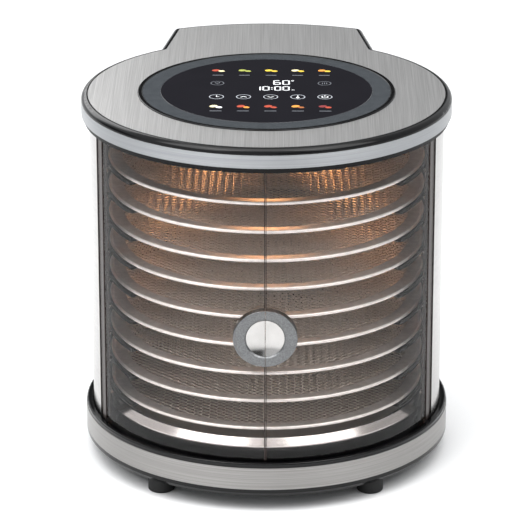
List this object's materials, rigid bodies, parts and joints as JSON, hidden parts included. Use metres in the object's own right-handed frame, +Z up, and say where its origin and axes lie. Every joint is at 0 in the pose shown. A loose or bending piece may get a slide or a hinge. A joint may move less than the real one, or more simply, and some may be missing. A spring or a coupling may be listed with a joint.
{
  "type": "food dehydrator",
  "caption": "Drum-shaped countertop food dehydrator with two curved glass doors, stacked round mesh trays, a rear air duct and a touch panel on top.",
  "frame": {"origin": "middle of the outline's box in plan, on the surface the feet stand on", "axes": "+Z up, -Y towards the glass doors at the front, +X towards the right-hand door as seen from the front"},
  "size_m": [0.38, 0.443, 0.3869],
  "materials": {
    "black_plastic": "satin moulded black plastic",
    "brushed_steel": "stainless steel with a fine straight brush",
    "rubber": "soft black rubber",
    "screw_steel": "plain steel",
    "polished_steel": "bright rolled stainless steel",
    "black_steel": "satin black paint",
    "gloss_black": "high gloss black",
    "gloss_bezel": "gloss blue-grey",
    "black_glass": "back-printed black glass",
    "circuit_board": "green laminate",
    "lamp_lens": "frosted lens",
    "galvanised_steel": "dull galvanised steel",
    "heater_steel": "heat-darkened steel sheath",
    "motor_steel": "grey motor can",
    "clear_glass": "clear toughened glass",
    "dark_trim": "dark bronze-black",
    "dark_seal": "soft dark magnetic seal",
    "brushed_nickel": "turned satin",
    "mirror_steel": "mirror polish",
    "woven_steel": "woven stainless wire"
  },
  "bodies": {
    "case": {"base_moulding": "black_plastic", "base_band": "brushed_steel", "base_cover": "black_plastic", "feet": "rubber", "case_screws": "screw_steel", "floor_pan": "polished_steel", "rear_shell": "polished_steel", "rear_cover": "black_plastic", "inner_liner": "polished_steel", "door_posts": "black_steel", "tray_runners": "black_plastic", "hinge_pins": "screw_steel", "head_housing": "black_plastic", "head_band": "brushed_steel", "head_rim": "gloss_black", "top_plate": "brushed_steel", "panel_trim": "gloss_black", "panel_bezel": "gloss_bezel", "panel_glass": "black_glass", "control_board": "circuit_board", "display_module": "gloss_black", "chamber_lamp": "lamp_lens", "fan_shroud": "galvanised_steel", "fan_guard": "galvanised_steel", "heater_element": "heater_steel", "motor_bracket": "galvanised_steel", "fan_motor": "motor_steel", "thermal_cutout": "motor_steel", "power_board": "circuit_board", "power_inlet": "black_plastic"},
    "left_door": {"door_glass_left": "clear_glass", "hinge_rail_left": "dark_trim", "door_seal_left": "dark_seal", "handle_half_left": "brushed_nickel", "handle_dish_left": "mirror_steel"},
    "right_door": {"door_glass_right": "clear_glass", "hinge_rail_right": "dark_trim", "door_seal_right": "dark_seal", "handle_half_right": "brushed_nickel", "handle_dish_right": "mirror_steel"},
    "fan": {"fan_impeller": "galvanised_steel", "fan_shaft": "screw_steel"},
    "tray_1": {"tray_frame_1": "polished_steel", "tray_mesh_1": "woven_steel"},
    "tray_2": {"tray_frame_2": "polished_steel", "tray_mesh_2": "woven_steel"},
    "tray_3": {"tray_frame_3": "polished_steel", "tray_mesh_3": "woven_steel"},
    "tray_4": {"tray_frame_4": "polished_steel", "tray_mesh_4": "woven_steel"},
    "tray_5": {"tray_frame_5": "polished_steel", "tray_mesh_5": "woven_steel"},
    "tray_6": {"tray_frame_6": "polished_steel", "tray_mesh_6": "woven_steel"},
    "tray_7": {"tray_frame_7": "polished_steel", "tray_mesh_7": "woven_steel"},
    "tray_8": {"tray_frame_8": "polished_steel", "tray_mesh_8": "woven_steel"},
    "tray_9": {"tray_frame_9": "polished_steel", "tray_mesh_9": "woven_steel"}
  },
  "joints": [
    {"name": "left_door_hinge", "type": "hinge", "parent": "case", "child": "left_door", "pos_m": [-0.16604, -0.09707, 0.206], "axis": [0, 0, -1], "range_deg": [0, 110]},
    {"name": "right_door_hinge", "type": "hinge", "parent": "case", "child": "right_door", "pos_m": [0.16604, -0.09707, 0.206], "axis": [0, 0, 1], "range_deg": [0, 110]},
    {"name": "fan_spin", "type": "hinge", "parent": "case", "child": "fan", "pos_m": [0, 0.169, 0.205], "axis": [0, 1, 0], "continuous": true},
    {"name": "tray_1_slide", "type": "slide", "parent": "case", "child": "tray_1", "axis": [0, -1, 0], "range_m": [0, 0.0135]},
    {"name": "tray_2_slide", "type": "slide", "parent": "case", "child": "tray_2", "axis": [0, -1, 0], "range_m": [0, 0.0135]},
    {"name": "tray_3_slide", "type": "slide", "parent": "case", "child": "tray_3", "axis": [0, -1, 0], "range_m": [0, 0.0135]},
    {"name": "tray_4_slide", "type": "slide", "parent": "case", "child": "tray_4", "axis": [0, -1, 0], "range_m": [0, 0.0135]},
    {"name": "tray_5_slide", "type": "slide", "parent": "case", "child": "tray_5", "axis": [0, -1, 0], "range_m": [0, 0.0135]},
    {"name": "tray_6_slide", "type": "slide", "parent": "case", "child": "tray_6", "axis": [0, -1, 0], "range_m": [0, 0.0135]},
    {"name": "tray_7_slide", "type": "slide", "parent": "case", "child": "tray_7", "axis": [0, -1, 0], "range_m": [0, 0.0135]},
    {"name": "tray_8_slide", "type": "slide", "parent": "case", "child": "tray_8", "axis": [0, -1, 0], "range_m": [0, 0.0135]},
    {"name": "tray_9_slide", "type": "slide", "parent": "case", "child": "tray_9", "axis": [0, -1, 0], "range_m": [0, 0.0135]}
  ]
}
